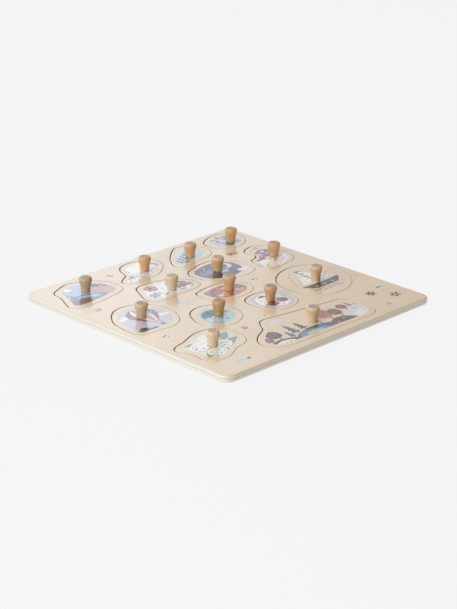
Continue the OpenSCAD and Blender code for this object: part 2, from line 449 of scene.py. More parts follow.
def acorn_fruit(u, v, size, turn, nut, shine, cap):
    c, s = math.cos(math.radians(turn)), math.sin(math.radians(turn))

    def at(points):
        return [(u + size * (x * c - y * s), v + size * (x * s + y * c)) for x, y in points]

    out = [(nut, blob(at([(0.62, 0.1), (0.6, -0.35), (0.34, -0.82), (0, -1.1), (-0.34, -0.82), (-0.6, -0.35), (-0.62, 0.1), (0, 0.3)]))),
           (shine, leaf(*at([(-0.3, 0.0)])[0], *at([(-0.22, -0.72)])[0], 0.16 * size, 7)),
           (cap, blob(at([(0.78, 0.12), (0.6, 0.46), (0, 0.66), (-0.6, 0.46), (-0.78, 0.12), (-0.4, 0.0), (0, -0.04), (0.4, 0.0)]))),
           (cap, stroke(at([(0, 0.6), (0.04, 0.8), (0.16, 0.98)]), 0.2 * size, 0.14 * size, 4))]
    for k in range(3):
        y = 0.16 + 0.14 * k
        out.append((nut, stroke(at([(-0.5 + 0.13 * k, y), (0, y + 0.1), (0.5 - 0.13 * k, y)]), 0.05 * size, 0.05 * size, 4)))
    return out


def lobed_leaf(u0, v0, u1, v1, width, colour, vein):
    du, dv = u1 - u0, v1 - v0
    length = math.hypot(du, dv)
    nu, nv = -dv / length, du / length
    shape = [(0.0, 0.0), (0.1, 0.1), (0.2, 0.34), (0.32, 0.26), (0.44, 0.48), (0.56, 0.32), (0.68, 0.42), (0.8, 0.22), (0.92, 0.2), (1.0, 0.0)]
    side = [(u0 + du * t + nu * width * h, v0 + dv * t + nv * width * h) for t, h in shape]
    other = [(u0 + du * t - nu * width * h, v0 + dv * t - nv * width * h) for t, h in reversed(shape[1:-1])]
    out = [(colour, blob(side + other, 4)), (vein, stroke([(u0, v0), (u0 + du * 0.5, v0 + dv * 0.5), (u0 + du * 0.9, v0 + dv * 0.9)], 0.7, 0.35, 4))]
    for t, h in ((0.3, 0.24), (0.52, 0.3), (0.72, 0.22)):
        for k in (1, -1):
            a = (u0 + du * (t - 0.12), v0 + dv * (t - 0.12))
            out.append((vein, stroke([a, (u0 + du * t + k * nu * width * h, v0 + dv * t + k * nv * width * h)], 0.5, 0.3, 3)))
    return out


def berry(u, v, r, colour, shade, crown):
    return [(colour, oval(u, v, r, r * 0.97, 0, 30)),
            (shade, blob([(u - 0.92 * r, v - 0.2 * r), (u - 0.5 * r, v - 0.78 * r), (u + 0.2 * r, v - 0.9 * r), (u + 0.85 * r, v - 0.36 * r),
                          (u + 0.3 * r, v - 0.6 * r), (u - 0.4 * r, v - 0.5 * r)], 5)),
            (crown, star(u + 0.12 * r, v + 0.22 * r, 0.46 * r, 0.2 * r, 5, 80)),
            (WHITE, oval(u - 0.42 * r, v + 0.42 * r, 0.16 * r, 0.1 * r, 40, 12))]


# Each design is drawn upright: u to the right, v upwards, in millimetres from the middle of its piece
def design_pond():
    d = [(WHITE, oval(-11, 17, 4.2, 4.2))]
    d += [(LILAC, blob([(-50, -40), (0, -40), (50, -40), (50, 6), (36, 10), (22, 13), (9, 8), (-6, 2), (-20, 6), (-34, 2), (-50, 5)]))]
    d += [(DUSTY, blob([(-12, -40), (20, -44), (50, -40), (52, 0), (32, 6), (17, 2), (4, -5), (-5, -14)]))]
    d += [(MAUVE, blob([(-50, -40), (-20, -44), (14, -40), (11, -25), (-4, -17), (-18, -11), (-33, -8), (-50, -9)]))]
    d += [(BLUE, blob([(-27, -5), (-16, -1.5), (-4, -3.5), (7, -8), (16, -13), (14, -18.5), (3, -19.5), (-10, -15), (-22, -11)]))]
    d += [(ICE, blob([(-16, -5.5), (-7, -5.5), (2, -9.5), (8, -14), (2, -15.5), (-7, -12), (-14, -9)], 5))]
    d += [(WHITE, stroke([(-14, -7.5), (-9, -8.2), (-4, -9.4)], 0.8, 0.5)), (WHITE, stroke([(-1, -12.5), (3, -13.6), (6, -14.8)], 0.8, 0.5))]
    d += round_tree(19, 1, 9, 5.2, 6.4, PLUM, MAUVE) + round_tree(28, -2, 7.5, 4, 5, CRIMSON, PINK)
    for u, v, h in ((-24, -6, 9), (-21.4, -6.5, 12), (-18.6, -7, 8)):
        d += [(BROWN, stroke([(u, v), (u + 0.5, v + h * 0.5), (u + 0.2, v + h)], 0.7, 0.5)), (RUST, oval(u + 0.2, v + h, 1.0, 2.3, 4, 16))]
    d += [(CRIMSON, oval(-9, -20, 1.5, 1.4, 0, 14)), (PINK, oval(-5, -22, 1.3, 1.2, 0, 14)), (CRIMSON, oval(-14, -17.5, 1.2, 1.1, 0, 14)), (WHITE, oval(-1, -23.5, 1.1, 1.0, 0, 14))]
    return d


def design_balloon():
    d = puffs(WHITE, (-19, 9, 6.5, 3), (-15, 11, 4.4, 3.8), (-22, 8.4, 4, 2.2), (22, -7, 6.5, 2.8), (18.5, -5.4, 3.8, 3.2))
    d += [(DUSTY, blob([(6, -42), (24, -46), (42, -40), (44, -18), (30, -18), (20, -24), (10, -30)]))]
    d += [(TEAL, blob([(-42, -44), (-22, -48), (-4, -42), (-5, -30), (-9, -25.5), (-14, -26.5), (-17, -21), (-23, -20), (-27, -24), (-33, -22), (-42, -25)]))]
    for u, v, a in ((-24, -29, 100), (-15, -30, 75), (-9, -31, 60)):
        d += sprig(u, v, 8, a, SEA, 2, 0.6, 0.4)
    gores = [(MAUVE, blob([(4, -19), (10, -12.5), (17.4, -3), (21, 7), (17, 17.2), (4, 22.6), (-9, 17.2), (-13, 7), (-9.4, -3), (-2, -12.5)]))]
    gores += [(SNOW, blob([(4, -19), (8.6, -11), (13.4, 3), (11.4, 16), (4, 22.6), (-3.4, 16), (-5.4, 3), (-0.6, -11)]))]
    gores += [(PINK, blob([(4, -19), (6.2, -10), (8.2, 3), (7.2, 16), (4, 22.6), (0.8, 16), (-0.2, 3), (1.8, -10)]))]
    d += gores
    d += [(SLATE, stroke([(-12.9, 8.6), (-4, 6.2), (4, 5.6), (12, 6.2), (20.9, 8.6)], 2.6, 2.6))]
    d += [(WHITE, oval(-9.5 + 4.5 * k, 6.9 - 1.1 * math.sin(math.pi * k / 6) + (0.7 if k in (0, 6) else 0), 0.8, 0.8, 0, 12)) for k in range(7)]
    d += [(BROWN, stroke([(0.2, -16.4), (1.2, -19.6), (1.8, -22.6)], 0.6)), (BROWN, stroke([(7.8, -16.4), (6.8, -19.6), (6.2, -22.6)], 0.6))]
    d += [(RUST, poly([(0.6, -22), (7.4, -22), (6.6, -27), (1.4, -27)])), (TAN, stroke([(1.0, -23.4), (7.0, -23.4)], 0.7)), (TAN, stroke([(1.3, -25.4), (6.7, -25.4)], 0.6))]
    return d


def design_egg():
    d = []
    for a, b, w, bend in (((6, -14), (31, -3), 10, 0.08), ((9, 2), (31, 14), 10, -0.06), ((8, 10), (20, 25), 8, 0.05), ((-10, 10), (-27, 14), 8, 0.06),
                          ((-14, -10), (-27, -23), 8, 0.05), ((2, -16), (-2, -27), 7, 0.0)):
        d.append((LEAF, leaf(a[0], a[1], b[0], b[1], w, 10, bend)))
        d.append((SAGE, stroke([a, ((a[0] + b[0]) / 2 - bend * (b[1] - a[1]), (a[1] + b[1]) / 2 + bend * (b[0] - a[0])), (b[0] * 0.9 + a[0] * 0.1, b[1] * 0.9 + a[1] * 0.1)], 0.7, 0.3)))
    eggs = [(-14, 3, 12.5, 9.6, 18), (6, 12, 11.5, 8.8, -24), (-10, -17, 11, 8.6, -14), (8, -7, 11, 8.6, 32)]
    for k, (u, v, ru, rv, turn) in enumerate(eggs):
        d += [(GREY, oval(u + 0.3, v - 0.5, ru + 0.35, rv + 0.35, turn)), (WHITE, oval(u, v, ru, rv, turn))]
        d += specks(40 + k, oval(u, v, ru * 0.86, rv * 0.84, turn), 11, 0.55, 1.9, 1.6)
    return d


def design_cloud():
    d = [(PINK, blob([(14, 4), (22, 14), (30, 8), (33, -1), (30, -3), (27, 5), (22, 9), (18, 3)], 5)), (MAUVE, blob([(16, 4), (22, 10.5), (28, 6), (30, -2), (27, -4), (25, 2), (22, 6), (19, 2)], 5))]
    d += puffs(LILAC, (6, -0.5, 19, 7.4), (-1, 6.5, 9, 8), (12, 9, 10, 9), (19, 1.5, 8, 6.4))
    d += puffs(WHITE, (6, 1.2, 17.6, 6.2), (-1, 8, 7.8, 6.8), (12, 10.6, 8.8, 7.8), (19, 3, 6.8, 5.2))
    d += puffs(GREY, (-20, -9.6, 6.6, 3.2), (-23, -7.8, 3.4, 3.0), (-17.5, -7.4, 3.6, 3.2))
    for k, (u, v) in enumerate(((-26, -17.5), (-19.5, -17), (-11, -11), (-8, -18), (-1.5, -12.5), (3.5, -18), (9.5, -12.5), (14.5, -15.5), (19.5, -9.5), (25, -8))):
        d.append(((BLUE, ICE, MAUVE)[k % 3], drop(u, v, 1.35, 4.2)))
    d += [(MAUVE, oval(-10, 4, 1.1, 1.1, 0, 12)), (ICE, oval(24, 15.5, 1.3, 1.3, 0, 12)), (BLUE, oval(-6, 18, 1.2, 1.2, 0, 12))]
    return d


def design_daisy():
    d = [(LEAF, stroke([(16, -17), (17, -8), (18, 0)], 1.1, 0.8)), (LEAF, stroke([(-12, -17), (-13, -4), (-13, 8)], 1.0, 0.7)), (LEAF, stroke([(-22, -18), (-22, -13), (-23, -8)], 0.9, 0.7)),
         (LEAF, stroke([(27, -15), (28, -9), (28.5, -4)], 0.9, 0.7))]
    d += [(LEAF, leaf(16.4, -14, 7, -13, 3.6)), (LEAF, leaf(-12.4, -13, -4.5, -11, 3.2)), (LEAF, leaf(-13, -8, -20, -2, 3)), (LEAF, leaf(27.4, -12, 22, -15, 2.4))]
    d += flower(17.5, 2, 13, 12, PLUM, MAUVE, TAN) + flower(-13, 10, 8.6, 10, MAUVE, PINK, PLUM, 10) + flower(-23, -8, 6.4, 8, LILAC, MAUVE, TAN, 5) + flower(28.5, -6, 5, 8, PINK, MAUVE, PLUM)
    for u, v, c in ((-4, 17, SLATE), (2, 12.5, ICE), (-27, 3, ICE), (-3, 2, SLATE), (5, 19, MAUVE), (-17, -1.6, SLATE), (-6, -6, ICE), (-29, -15, MAUVE), (4, -17, SLATE), (24, 9, ICE)):
        d.append((c, oval(u, v, 1.0, 0.9, 0, 12)))
    return d


def design_umbrella():
    d = []
    rim = []
    for k in range(4):
        u0, u1 = 16 - 8 * k, 8 - 8 * k
        rim += [(u0 + (u1 - u0) * t, -2 + 2.3 * math.sin(math.pi * t)) for t in (0, 0.17, 0.33, 0.5, 0.67, 0.83)]
    dome = [(16 * math.cos(a), -2 + 16.5 * math.sin(a)) for a in (math.pi * (1 - k / 24) for k in range(25))]
    canopy = poly(list(reversed(dome)) + list(reversed(rim))[:-1])
    d.append((SEA, canopy))
    for k in (0, 2):
        u0, u1 = 16 - 8 * k, 8 - 8 * k
        side = [(u0 + (0 - u0) * t ** 1.5, -2 + 16.5 * math.sin(math.pi / 2 * t) ** 0.9) for t in (i / 10 for i in range(11))]
        other = [(u1 + (0 - u1) * t ** 1.5, -2 + 16.5 * math.sin(math.pi / 2 * t) ** 0.9) for t in (i / 10 for i in range(10))]
        foot = [(u0 + (u1 - u0) * t, -2 + 2.3 * math.sin(math.pi * t)) for t in (0.17, 0.33, 0.5, 0.67, 0.83)]
        d.append((TEAL, poly(side + list(reversed(other)) + list(reversed(foot)))))
    d += [(BROWN, stroke([(0, 0.2), (0, -6), (0, -12), (1.6, -15), (4.2, -14), (4.4, -11.8)], 1.1, 0.9)), (BROWN, stroke([(0, 14.2), (0, 17)], 0.9, 0.6))]
    for u, v in ((-13, -8), (-7.5, -12.5), (9.5, -8), (14, -6), (8.5, -14), (-15.5, 9), (15, 10.5), (-9.5, 15.5), (9, 16.2)):
        d.append((WHITE, drop(u, v, 1.05, 3.2)))
    return d


def design_forest():
    d = [(PALE, blob([(30, -42), (56, -46), (86, -40), (88, -6), (70, -1), (56, -4), (44, -10), (33, -20)]))]
    d += [(SNOW, blob([(46, -42), (64, -46), (88, -40), (88, -16), (74, -13), (60, -15), (50, -21)]))]
    d += [(SEA, blob([(-44, -42), (-10, -46), (26, -40), (22, -21), (8, -14), (-10, -11.5), (-26, -15), (-38, -22)]))]
    d += [(BLUE, blob([(-32, -20), (-22, -15.5), (-8, -16), (4, -20), (6, -25), (-6, -28), (-22, -28), (-32, -25)]))]
    d += [(ICE, blob([(-24, -21), (-14, -18.5), (-4, -20.5), (-2, -24), (-12, -26), (-22, -25)], 5)), (WHITE, stroke([(-18, -21.5), (-12, -22.2), (-7, -22)], 0.8, 0.5)), (WHITE, stroke([(-14, -24.2), (-9, -24.4)], 0.7, 0.5))]
    d += [(PLUM, blob([(-86, -42), (-58, -46), (-36, -40), (-35, -24), (-44, -17), (-57, -14), (-72, -17), (-86, -20)]))]
    d += [(WHITE, blob([(-66, -21), (-57, -17.5), (-46, -20), (-43, -25), (-54, -27.5), (-64, -26)], 5))] + specks(81, blob([(-66, -21), (-57, -17.5), (-46, -20), (-43, -25), (-54, -27.5), (-64, -26)], 5), 12, 0.5, 1.3, 1.2)
    d += [(BROWN, blob([(12, -42), (28, -46), (48, -40), (45, -23), (36, -15), (25, -13.5), (16, -19)]))]
    d += puffs(PALE, (-26, 20, 7, 3.2), (-22, 22, 4.6, 3.8), (-31, 19.4, 4, 2.4)) + puffs(PALE, (56, 14, 6, 2.6), (59, 15.6, 4, 3))
    d += conifer(-28, -15, 26, 13, SEA) + conifer(-15, -12, 20, 11, TEAL) + conifer(-38, -19, 17, 9, SLATE)
    d += round_tree(-52, -15, 13, 8.6, 9.4, PLUM, MAUVE) + round_tree(-65, -17, 9, 5.4, 6, CRIMSON, PINK)
    d += round_tree(24, -14, 17, 10.4, 12.4, TERRA, RUST) + round_tree(38, -15, 13, 7, 8.6, RUST, TERRA) + round_tree(7, -14, 9, 4.4, 5.6, TAN, TERRA)
    d += round_tree(53, -6, 9, 5.6, 6, CRIMSON, PINK) + conifer(63, -3, 13, 7.5, GREY) + conifer(69.5, -4, 9, 5.6, LEAF)
    d += [(CRIMSON, oval(17, -21, 1.2, 1.1, 0, 12)), (WHITE, oval(21, -23, 1.1, 1.0, 0, 12)), (CRIMSON, oval(38, -22, 1.1, 1.1, 0, 12)), (WHITE, oval(33, -19, 1.0, 0.9, 0, 12))]
    d += [(GREY, stroke([(56, -9), (62, -8), (68, -9.5)], 0.7, 0.4)), (GREY, stroke([(60, -19), (66, -18), (71, -19)], 0.7, 0.4))]
    return d


def design_fern():
    line = opened([(-24, -17), (-13, -8), (-1, -0.5), (10, 8), (17, 17)], 6)
    d = [(SLATE, stroke([(-24, -17), (-13, -8), (-1, -0.5), (10, 8), (17, 17)], 1.2, 0.6))]
    for k in range(2, len(line) - 1, 3):
        p, q = line[k], line[k + 1]
        du, dv = q[0] - p[0], q[1] - p[1]
        length = math.hypot(du, dv)
        du, dv = du / length, dv / length
        reach = 12.5 * (1 - 0.62 * k / len(line))
        d.append((SLATE if k % 2 else SEA, leaf(p[0], p[1], p[0] + reach * (0.62 * du - 0.78 * dv), p[1] + reach * (0.62 * dv + 0.78 * du), 3.4, 8)))
        d.append((BLUE if k % 2 else SLATE, leaf(p[0], p[1], p[0] + reach * (0.62 * du + 0.78 * dv), p[1] + reach * (0.62 * dv - 0.78 * du), 3.4, 8)))
    d += [(SLATE, leaf(17, 17, 20.5, 21, 2.4))]
    d += sprig(8, -14, 15, 28, ICE, 3, 0.7, 0.34, WHITE) + sprig(-15, 4, 12, 62, WHITE, 3, 0.7, 0.34, ICE)
    for u, v in ((22, 6), (14, -2), (-4, 14), (1, 20), (-20, -2), (-26, -12), (24, -6)):
        d.append((MAUVE, oval(u, v, 1.0, 1.0, 0, 12)))
    return d


def design_moon():
    sky = blob([(26, 10), (16, 19), (2, 21.5), (-14, 19), (-26, 12), (-29, 2), (-25, -10), (-14, -17), (0, -20), (14, -18), (25, -9)])
    d = [(SLATE, sky), (NAVY, blob([(24, 11), (15, 18), (2, 20.5), (-12, 18.5), (-23, 12), (-17, 9), (-6, 11.5), (6, 9.5), (15, 11)]))]
    d += [(SNOW, oval(14, 6, 7.4, 7.4)), (SLATE, oval(10.6, 7.8, 6.5, 6.5))]
    d += puffs(GREY, (-15, 1, 7, 2.8), (-11.5, 2.8, 4, 3.2), (-19, 1.8, 3.6, 2.4)) + puffs(LILAC, (2, -6, 6.4, 2.5), (5, -4.4, 3.6, 3))
    d += [(NAVY, blob([(-27, -8), (-17, -4), (-7, -9), (3, -10), (11, -6.5), (21, -9), (24, -13), (14, -19), (0, -21.5), (-14, -18.5), (-24, -12)])),
          (BLACK, blob([(-22, -14), (-12, -11), (-2, -14.5), (8, -13), (17, -14.5), (12, -19.5), (0, -21.8), (-13, -19.2)]))]
    d += conifer(-18, -10, 9, 5, BLACK, BLACK) + conifer(-12.6, -10.5, 7, 4, BLACK, BLACK) + conifer(16, -12, 8, 4.6, BLACK, BLACK)
    for u, v, r in ((-20, 8, 1.3), (-10, 14, 1.7), (-3, 6.5, 1.2), (3, 15.5, 1.5), (0, 0.5, 1.0), (20, 15, 1.2), (-24, 3, 1.1), (12, 15.5, 0.9), (-14, 9.5, 0.9)):
        d.append((WHITE, star(u, v, r, r * 0.45, 5)))
    d += puffs(SNOW, (22, -15, 7.5, 3.4), (26.5, -13, 4.2, 3.6), (18, -13.6, 3.8, 3)) + [(LILAC, stroke([(15.5, -16.6), (21, -17.6), (27, -16.4)], 0.9, 0.6))]
    return d


def design_acorn():
    d = lobed_leaf(-24, -9, -4, 14, 13, RUST, TERRA) + lobed_leaf(25, -8, 10, 14.5, 12, BROWN, TERRA)
    d += acorn_fruit(-10, -2, 11, 12, TAN, WHITE, RUST) + acorn_fruit(15.5, -2.5, 10, -16, ink(214, 168, 134), WHITE, BROWN)
    d += acorn_fruit(3.4, 9.6, 5.6, 4, TAN, WHITE, RUST)
    for u, v in ((-22, 6), (-20, -14), (1, -13.5), (23, 8), (-1, -9.6), (6, -15)):
        d.append((RUST, oval(u, v, 0.9, 0.9, 0, 12)))
    return d


def design_cherry():
    d = [(WHITE, oval(-0.5, -0.5, 18.6, 18.4, 0, 48)), (ICE, blob([(15, 9), (18, 0), (15, -9), (9, -15), (13.5, -8), (15, 0), (12.5, 9), (6, 16)], 6)), (BLUE, blob([(-16, -7), (-12, -13), (-5, -16.6), (-10, -11.5), (-14, -4)], 6))]
    d += [(BROWN, stroke([(2.5, 13), (-3, 5), (-6, -2)], 0.9, 0.7)), (BROWN, stroke([(2.5, 13), (5.5, 5), (7.5, -1)], 0.9, 0.7))]
    d += [(NAVY, leaf(2.5, 12.6, 14, 11.6, 5, 9, 0.08)), (NAVY, leaf(2.5, 12.6, -9.5, 13, 4.6, 9, -0.08)), (SEA, stroke([(4, 12.6), (8, 12.9), (12, 12.0)], 0.6, 0.3)), (SEA, stroke([(1, 12.8), (-3.4, 13.6), (-7.6, 13.2)], 0.6, 0.3))]
    d += [(CRIMSON, oval(-6.4, -7, 6.4, 6.1)), (CRIMSON, oval(8, -5.6, 6.2, 5.9)), (PINK, oval(-8.8, -4.6, 1.6, 1.0, 40, 14)), (PINK, oval(5.7, -3.2, 1.5, 1.0, 40, 14)),
          (PLUM, blob([(-11.6, -10), (-7, -13.2), (-1.6, -11), (-5, -11.4)], 5)), (PLUM, blob([(3.2, -8.6), (7.6, -11.6), (12.8, -9.4), (9, -9.9)], 5))]
    d += [(MAUVE, oval(-12.5, 5.5, 1.0, 1.0, 0, 12)), (MAUVE, oval(-11, 1, 0.8, 0.8, 0, 12)), (MAUVE, oval(0.8, -14.8, 1.0, 1.0, 0, 12))]
    return d


def design_berry():
    d = [(LEAF, leaf(-2, 8, -16, 13, 6.6, 9, 0.06)), (LEAF, leaf(2, 8, 15, 14, 6.6, 9, -0.06)), (SEA, leaf(0, 8, 0.6, 18, 5, 9)), (SAGE, stroke([(-3.4, 8.6), (-9, 11), (-14, 12.6)], 0.6, 0.3)), (SAGE, stroke([(3.4, 8.6), (9, 11.2), (13, 13.2)], 0.6, 0.3))]
    d += berry(-8.6, 1.5, 7.0, SKY, BLUE, NAVY) + berry(7.6, 3.4, 6.8, BLUE, SLATE, NAVY) + berry(-2.6, -8.2, 7.2, BLUE, SLATE, NAVY) + berry(11, -8, 5.6, SKY, BLUE, NAVY)
    d += [(BLUE, oval(-16, -8, 1.2, 1.2, 0, 14)), (SLATE, oval(-13.5, -12, 0.9, 0.9, 0, 12)), (BLUE, oval(17.5, 0, 1.0, 1.0, 0, 12)), (SLATE, oval(-17, 4, 0.8, 0.8, 0, 12))]
    return d


def design_mushroom():
    ground = blob([(-24, -28), (-10, -28.5), (6, -25), (17, -19), (20, -11), (12, -9), (2, -12), (-9, -10), (-19, -9), (-24, -16)])
    stem = blob([(0.5, -17), (5, -19), (9.5, -17), (8.4, -8), (8.0, 2), (5, 4), (2.0, 2), (1.6, -8)])
    d = [(WHITE, ground)] + specks(11, ground, 22, 0.55, 1.9, 1.5)
    d += [(GREY, moved(stem, 0.5)), (WHITE, stem), (LILAC, stroke([(6.8, -14), (6.6, -6), (6.6, 0)], 0.8, 0.5))]
    d += [(MAUVE, blob([(-11, -1), (-9.5, 8), (-3, 15), (5, 17.5), (13, 15), (19.5, 8), (21, -1), (13, -3), (5, -3.6), (-3, -3)])), (PLUM, blob([(-9.5, -1.4), (-2, -0.4), (5, 0.0), (12, -0.4), (19.5, -1.4), (13, -3), (5, -3.6), (-3, -3)]))]
    d += [(WHITE, oval(-4, 6.4, 2.1, 1.7, 30, 18)), (WHITE, oval(4.6, 11.4, 2.5, 1.9, 0, 18)), (WHITE, oval(13, 7.6, 2.1, 1.7, -30, 18)), (WHITE, oval(4.8, 4.4, 1.5, 1.1, 0, 16)), (WHITE, oval(-6, 1.6, 1.2, 0.9, 0, 14)), (WHITE, oval(16.6, 2.0, 1.2, 0.9, 0, 14))]
    d += [(WHITE, blob([(-16.5, -13), (-14, -14), (-11.5, -13), (-12.4, -5), (-15.6, -5)], 5)), (CRIMSON, blob([(-22, -6.4), (-19.5, -1.2), (-14, 1.4), (-9, -1.4), (-6.8, -6.4), (-14, -7.6)])), (WHITE, oval(-17, -3.4, 1.1, 0.9, 0, 12)), (WHITE, oval(-12.6, -2.2, 1.2, 0.9, 0, 12))]
    d += [(LEAF, leaf(8, 18.6, 2, 27, 3.8)), (LILAC, leaf(8.6, 18.6, 14.6, 26, 3.8)), (PURPLE, oval(-3.5, 21, 1.3, 1.3, 0, 14)), (CRIMSON, oval(8.2, 25.6, 1.3, 1.3, 0, 14)), (BLACK, oval(18.6, 17, 0.9, 0.9, 0, 12)), (PLUM, oval(-7, 16.4, 0.9, 0.9, 0, 12))]
    return d


def design_boat():
    jib = blob([(-2.2, 26), (-2.0, 12), (-2.2, -5.2), (-12, -5.6), (-21, -4.6), (-14.6, 6), (-7.4, 17)], 5)
    main = blob([(2.2, 28), (1.8, 12), (2.2, -5.2), (14, -5.8), (26, -4.6), (20.6, 6), (11, 18)], 5)
    d = [(BROWN, stroke([(0, -9), (0, 10), (0, 30)], 1.4, 1.0)), (GREY, moved(jib, 0.45)), (WHITE, jib), (GREY, moved(main, 0.45)), (WHITE, main)]
    d += specks(5, jib, 17, 0.55, 1.8, 1.5) + specks(6, main, 22, 0.55, 2.0, 1.5)
    d += [(CRIMSON, poly([(0.4, 30.4), (8.4, 28.4), (0.4, 26.4)]))]
    d += [(PURPLE, blob([(-27, -8), (-14, -9), (0, -9.2), (14, -9), (27, -8), (22, -15), (15, -19.5), (0, -20.4), (-15, -19.5), (-22, -15)])), (NAVY, stroke([(-25.6, -9.8), (-10, -11.2), (10, -11.2), (25.6, -9.8)], 2.2, 2.2))]
    d += [(WHITE, oval(u, -15.2, 1.6, 1.6, 0, 16)) for u in (-12, 0, 12)] + [(NAVY, oval(u, -15.2, 0.9, 0.9, 0, 14)) for u in (-12, 0, 12)]
    for k, (u, v, w) in enumerate(((-16, -23.6, 18), (4, -24.4, 20), (20, -21.4, 12), (-6, -28.2, 20), (12, -28.6, 12), (-22, -19, 8))):
        d.append(((NAVY, SLATE, BLUE)[k % 3], stroke([(u - w / 2, v), (u - w / 4, v + 1.1), (u, v), (u + w / 4, v + 1.1), (u + w / 2, v)], 1.2, 0.8)))
    for u, v, c in ((-20, 14, BLACK), (-24, 7, CRIMSON), (-16, 22, SLATE), (22, 16, BLACK), (17, 23, CRIMSON), (27, 8, SLATE), (-28, 0, BLACK), (-10, 28, BLACK), (12, 29, SLATE)):
        d.append((c, star(u, v, 1.5, 0.66, 5) if c is not BLACK else oval(u, v, 0.9, 0.9, 0, 12)))
    return d


# Middle of each design on the board, the bare margin round it, its ground colour and its drawing
PRINTS = {
    "pond": ((-108, -101), 6.5, SKY, design_pond), "balloon": ((-15, -105), 6.0, ink(208, 206, 216), design_balloon),
    "egg": ((82, -102), 6.5, SAGE, design_egg), "cloud": ((-116, -20), 5.0, SNOW, design_cloud),
    "daisy": ((-59, -33), 5.5, ink(240, 239, 243), design_daisy), "umbrella": ((31, -48), 6.5, ICE, design_umbrella),
    "forest": ((107, 7), 6.0, None, design_forest), "fern": ((-116, 52), 5.5, FROST, design_fern),
    "moon": ((-58, 45), 5.0, None, design_moon), "acorn": ((-10, 7), 6.0, TERRA, design_acorn),
    "cherry": ((42, 24), 4.5, LILAC, design_cherry), "berry": ((-120, 114), 4.5, None, design_berry),
    "mushroom": ((-55, 115), 4.0, None, design_mushroom), "boat": ((32, 98), 6.0, None, design_boat),
}


def on_board(middle, points):
    """A design's points in plan: its right is +Y and its top is -X."""
    return [(middle[0] - v, middle[1] + u) for u, v in points]


def board_marks():
    """Small marks scattered on the board between the cut-outs."""
    marks = []

    def put(x, y, shapes):
        marks.extend((colour, on_board((x, y), points)) for colour, points in shapes)

    put(-63, -124, sprig(-5.5, -4, 12.5, 35, LEAF, 2, 0.8, 0.42, SLATE))
    put(36, -122, [(PLUM, oval(-2.6, 0, 1.5, 1.3, 0, 14)), (MAUVE, oval(1.2, 1.8, 1.3, 1.2, 0, 14)), (PLUM, oval(1.8, -2.2, 1.1, 1.0, 0, 14))])
    put(132, -110, sprig(-9, -1, 15, 10, ICE, 2, 0.9, 0.44, FROST) + [(SEA, oval(8.6, 1.4, 2.3, 2.1, 20, 18)), (TEAL, oval(9.0, 0.9, 1.3, 1.1, 20, 14))])
    put(75, -51, flower(0, 0, 4.2, 6, CRIMSON, PINK, TAN))
    put(-128, -52, [(GREY, leaf(-4, -1, 3.5, 2.6, 3)), (BROWN, leaf(-2, -3.4, 4.5, -2.4, 2.4))])
    put(-17, -51, sprig(-7, -2, 14.5, 15, ICE, 3, 0.8, 0.38, FROST) + [(SLATE, oval(4.4, -4.2, 0.9, 0.9, 0, 12))])
    put(-12, 53, [(BROWN, leaf(-4, 0, 0.6, 3.4, 2.4)), (LEAF, leaf(0.4, 3.0, 5.6, 1.4, 2.4)), (BROWN, oval(1, -1.6, 0.9, 0.9, 0, 12))])
    put(-85, 91, flower(-2.5, 0, 4.6, 5, CRIMSON, CRIMSON, PINK, 18) + [(PLUM, leaf(2.2, -2.6, 6.8, -4.4, 2.2)), (PLUM, leaf(2.4, -1.6, 6.2, 1.4, 2.0))])
    put(120, 127, flower(0, 0, 6.4, 5, UMBER, UMBER, TAN, 30))
    put(101, 110, flower(0, 0, 6.2, 6, UMBER, PLUM, TAN, 10))
    put(92, 132, [(PALE, leaf(-6.4, -1.6, 5.2, 2.0, 6.4)), (SLATE, leaf(-6.4, -1.6, 3.0, -2.2, 2.8))])
    put(133, 103, sprig(-4.6, 1, 9.5, -20, GREY, 2, 0.7, 0.42, ICE))
    put(66, -13, [(SLATE, oval(0, 0, 1.2, 1.2, 0, 14)), (ICE, oval(3.0, 1.6, 0.9, 0.9, 0, 12))])
    return marks


# ---------------------------------------------------------------- wood


def nodes_of(material):
    material.use_nodes = True
    tree = material.node_tree
    tree.nodes.clear()
    out = tree.nodes.new("ShaderNodeOutputMaterial")
    surface = tree.nodes.new("ShaderNodeBsdfPrincipled")
    tree.links.new(surface.outputs["BSDF"], out.inputs["Surface"])
    return tree, surface


def attribute(tree, name):
    node = tree.nodes.new("ShaderNodeAttribute")
    node.attribute_type = "GEOMETRY"
    node.attribute_name = name
    return node


def noise(tree, vector, scale, detail=3.0, rough=0.55, bend=0.0):
    """Noise over the wood's coordinates, stretched by scale."""
    place = tree.nodes.new("ShaderNodeMapping")
    place.inputs["Scale"].default_value = scale
    tree.links.new(vector, place.inputs["Vector"])
    node = tree.nodes.new("ShaderNodeTexNoise")
    node.inputs["Scale"].default_value = 1.0
    node.inputs["Detail"].default_value = detail
    node.inputs["Roughness"].default_value = rough
    node.inputs["Distortion"].default_value = bend
    tree.links.new(place.outputs["Vector"], node.inputs["Vector"])
    return node.outputs["Fac"]


def ramp(tree, value, stops, kind="LINEAR"):
    node = tree.nodes.new("ShaderNodeValToRGB")
    node.color_ramp.interpolation = kind
    items = node.color_ramp.elements
    while len(items) < len(stops):
        items.new(0.5)
    for item, (at, colour) in zip(items, stops):
        item.position = at
        item.color = colour if len(colour) == 4 else tuple(colour) + (1.0,)
    tree.links.new(value, node.inputs["Fac"])
    return node.outputs["Color"]


def mixed(tree, kind, share, a, b):
    node = tree.nodes.new("ShaderNodeMix")
    node.data_type = "RGBA"
    node.blend_type = kind
    if isinstance(share, float):
        node.inputs["Factor"].default_value = share
    else:
        tree.links.new(share, node.inputs["Factor"])
    for socket, value in ((node.inputs[6], a), (node.inputs[7], b)):
        if isinstance(value, tuple):
            socket.default_value = value
        else:
            tree.links.new(value, socket)
    return node.outputs[2]


